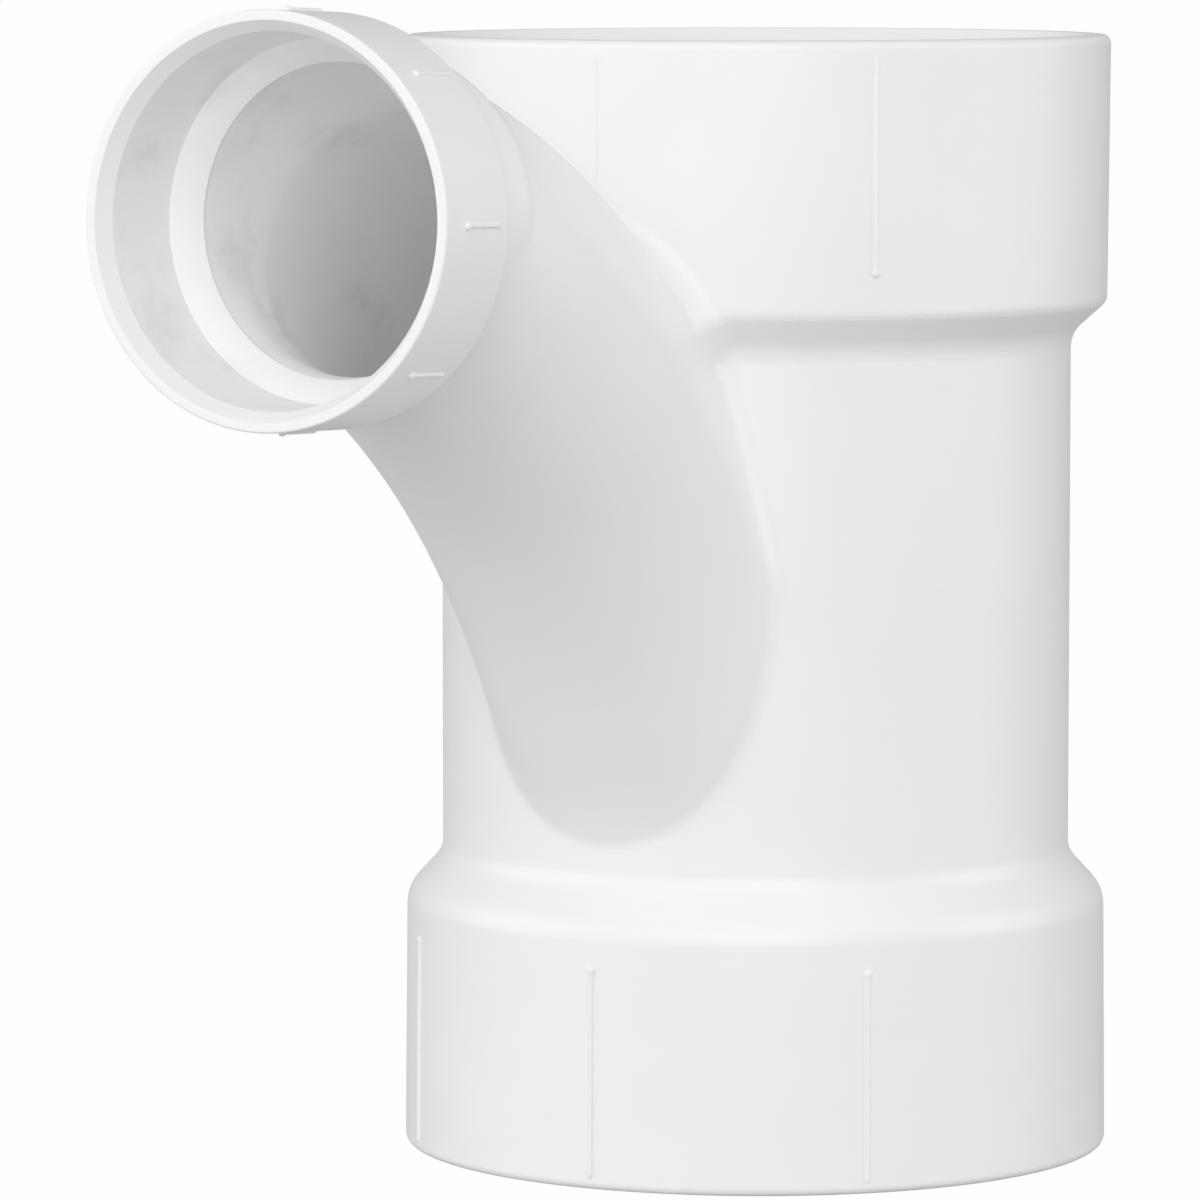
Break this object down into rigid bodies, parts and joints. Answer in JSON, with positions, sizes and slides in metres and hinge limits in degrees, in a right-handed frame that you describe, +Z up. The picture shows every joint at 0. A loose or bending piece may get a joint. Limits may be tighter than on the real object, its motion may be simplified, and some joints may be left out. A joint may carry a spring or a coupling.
{
  "type": "pipe tee fitting",
  "caption": "White plastic drainage tee with large sockets in line and a smaller socket on a long curved branch that sweeps down into the barrel.",
  "frame": {"origin": "on the plane of the lower rim, under the middle of the whole fitting's bounding box", "axes": "+Z up along the run, out of the upper socket; the branch socket faces -X; the plane y = 0 is the plane of symmetry"},
  "size_m": [0.2344, 0.1274, 0.2081],
  "materials": {
    "pvc_lower_hub": "white injection moulded PVC, semi-gloss",
    "pvc_barrel": "white injection moulded PVC, semi-gloss",
    "pvc_upper_hub": "white injection moulded PVC, semi-gloss",
    "pvc_branch": "white injection moulded PVC, semi-gloss"
  },
  "bodies": {
    "root": {"lower_hub": "pvc_lower_hub", "lower_shoulder": "pvc_barrel", "run_barrel": "pvc_barrel", "upper_shoulder": "pvc_barrel", "upper_hub": "pvc_upper_hub", "branch_sweep": "pvc_branch", "branch_hub": "pvc_branch"}
  },
  "joints": []
}
